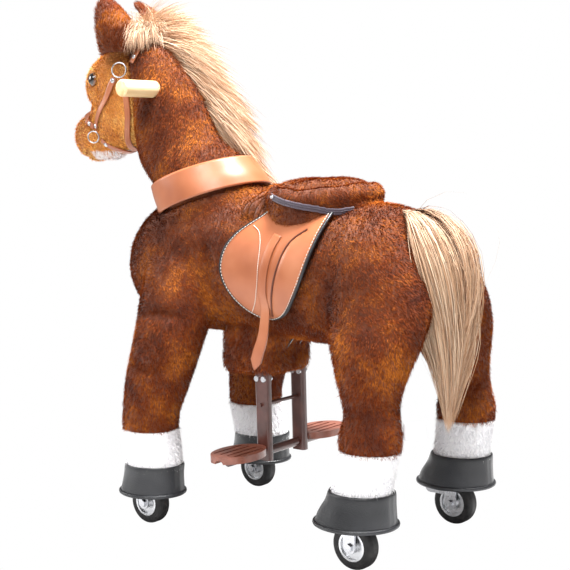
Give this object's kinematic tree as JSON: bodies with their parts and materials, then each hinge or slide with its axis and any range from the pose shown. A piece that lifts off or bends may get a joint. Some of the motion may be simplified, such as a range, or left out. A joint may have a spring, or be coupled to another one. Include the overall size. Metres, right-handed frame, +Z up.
{
  "type": "ride-on horse",
  "caption": "Plush ride-on pony on castor-size wheels: hinged front and rear halves, seat, foot pedals that lift on links, and a neck with hand bar that steers.",
  "frame": {"origin": "on the floor under the middle of the whole object's bounding box", "axes": "+Z up; -Y the way the horse faces; +X the horse's left"},
  "size_m": [0.383, 0.8507, 0.8696],
  "materials": {
    "frame_steel": "satin black paint",
    "bright_steel": "zinc plated",
    "seat_board_wood": "plain plywood",
    "plush": "short-pile plush, russet brown",
    "tan_leatherette": "smooth satin leatherette",
    "white_plush": "short-pile plush, white",
    "black_leatherette": "grained leatherette",
    "hair": "long-pile plush, blond and tan",
    "label_cloth": "blank woven tape",
    "gather_cloth": "gathered plush and black lining",
    "spring_steel": "oiled spring wire",
    "brown_steel": "dark red-brown paint, semi-gloss",
    "pedal_plastic": "moulded, dark brown",
    "handle_wood": "pale sanded hardwood, clear varnish",
    "eye_plastic": "polished",
    "tyre_rubber": "smooth tread",
    "hub_metal": "cast, satin silver"
  },
  "bodies": {
    "rear_half": {"rear_frame": "frame_steel", "main_pivot_shaft": "bright_steel", "seat_board": "seat_board_wood", "seat_cushion": "plush", "saddle": "tan_leatherette", "hanging_straps": "tan_leatherette", "rear_torso": "plush", "left_rear_leg": "plush", "right_rear_leg": "plush", "rear_socks": "white_plush", "left_rear_hoof": "black_leatherette", "right_rear_hoof": "black_leatherette", "rear_hoof_piping": "black_leatherette", "tail": "hair", "rear_wheel_brackets": "bright_steel", "rear_axle_bolts": "bright_steel", "one_way_pawls": "bright_steel", "care_label": "label_cloth", "back_gathers": "gather_cloth"},
    "front_half": {"front_frame": "frame_steel", "front_torso": "plush", "left_front_leg": "plush", "right_front_leg": "plush", "front_socks": "white_plush", "left_front_hoof": "black_leatherette", "right_front_hoof": "black_leatherette", "front_hoof_piping": "black_leatherette"},
    "guide": {"pedal_guide": "frame_steel", "return_spring": "spring_steel", "belly_pouch": "plush"},
    "pedals": {"pedal_carriage": "frame_steel", "pedal_tubes": "brown_steel", "pedal_screws": "bright_steel", "pedal_rung": "brown_steel", "pedal_shaft": "brown_steel", "left_pedal": "pedal_plastic", "right_pedal": "pedal_plastic"},
    "front_links": {"front_links": "frame_steel"},
    "rear_links": {"rear_links": "frame_steel"},
    "neck_and_head": {"steering_column": "frame_steel", "handle_bar": "handle_wood", "neck": "plush", "head": "plush", "collar": "tan_leatherette", "ears": "plush", "eyes": "eye_plastic", "mane": "hair", "bridle": "tan_leatherette", "bridle_rings": "bright_steel"},
    "left_fork": {"left_fork": "bright_steel"},
    "right_fork": {"right_fork": "bright_steel"},
    "left_front_wheel": {"left_front_tyre": "tyre_rubber", "left_front_hub": "hub_metal"},
    "right_front_wheel": {"right_front_tyre": "tyre_rubber", "right_front_hub": "hub_metal"},
    "left_rear_wheel": {"left_rear_tyre": "tyre_rubber", "left_rear_hub": "hub_metal"},
    "right_rear_wheel": {"right_rear_tyre": "tyre_rubber", "right_rear_hub": "hub_metal"}
  },
  "joints": [
    {"name": "leg_spread", "type": "hinge", "parent": "rear_half", "child": "front_half", "pos_m": [0, 0.033, 0.432], "axis": [-1, 0, 0], "range_deg": [0, 12], "stiffness_Nm_per_rad": 90, "springref_deg": -25.78, "deforming": ["back_gathers"]},
    {"name": "guide_swing", "type": "hinge", "parent": "rear_half", "child": "guide", "pos_m": [0, 0.033, 0.432], "axis": [-1, 0, 0], "range_deg": [0, 6.05]},
    {"name": "pedal_lift", "type": "slide", "parent": "guide", "child": "pedals", "axis": [0, 0, 1], "range_m": [0, 0.01562], "deforming": ["return_spring"]},
    {"name": "front_link_pivot", "type": "hinge", "parent": "front_half", "child": "front_links", "pos_m": [0, -0.03642, 0.34927], "axis": [1, 0, 0], "range_deg": [0, 12.05]},
    {"name": "rear_link_pivot", "type": "hinge", "parent": "rear_half", "child": "rear_links", "pos_m": [0, 0.10242, 0.34927], "axis": [-1, 0, 0], "range_deg": [0, 12.05]},
    {"name": "neck_steer", "type": "hinge", "parent": "front_half", "child": "neck_and_head", "pos_m": [0, -0.1, 0.523], "axis": [0, -0.2924, 0.9563], "range_deg": [-22, 22]},
    {"name": "left_fork_steer", "type": "hinge", "parent": "front_half", "child": "left_fork", "pos_m": [0.136, -0.139, 0.1], "axis": [0, 0, 1], "range_deg": [-22, 22]},
    {"name": "right_fork_steer", "type": "hinge", "parent": "front_half", "child": "right_fork", "pos_m": [-0.136, -0.139, 0.1], "axis": [0, 0, 1], "range_deg": [-22, 22]},
    {"name": "left_front_wheel_spin", "type": "hinge", "parent": "left_fork", "child": "left_front_wheel", "pos_m": [0.136, -0.139, 0.035], "axis": [1, 0, 0], "continuous": true},
    {"name": "left_rear_wheel_spin", "type": "hinge", "parent": "rear_half", "child": "left_rear_wheel", "pos_m": [0.136, 0.275, 0.035], "axis": [1, 0, 0], "continuous": true},
    {"name": "right_front_wheel_spin", "type": "hinge", "parent": "right_fork", "child": "right_front_wheel", "pos_m": [-0.136, -0.139, 0.035], "axis": [1, 0, 0], "continuous": true},
    {"name": "right_rear_wheel_spin", "type": "hinge", "parent": "rear_half", "child": "right_rear_wheel", "pos_m": [-0.136, 0.275, 0.035], "axis": [1, 0, 0], "continuous": true}
  ],
  "couplings": [
    {"joint": "guide_swing", "follows": "leg_spread", "ratio": 0.5},
    {"joint": "pedal_lift", "follows": "leg_spread", "m_per_rad": 0.07362},
    {"joint": "front_link_pivot", "follows": "leg_spread", "ratio": 1},
    {"joint": "rear_link_pivot", "follows": "leg_spread", "ratio": 1},
    {"joint": "left_fork_steer", "follows": "neck_steer", "ratio": 1},
    {"joint": "right_fork_steer", "follows": "neck_steer", "ratio": 1}
  ]
}
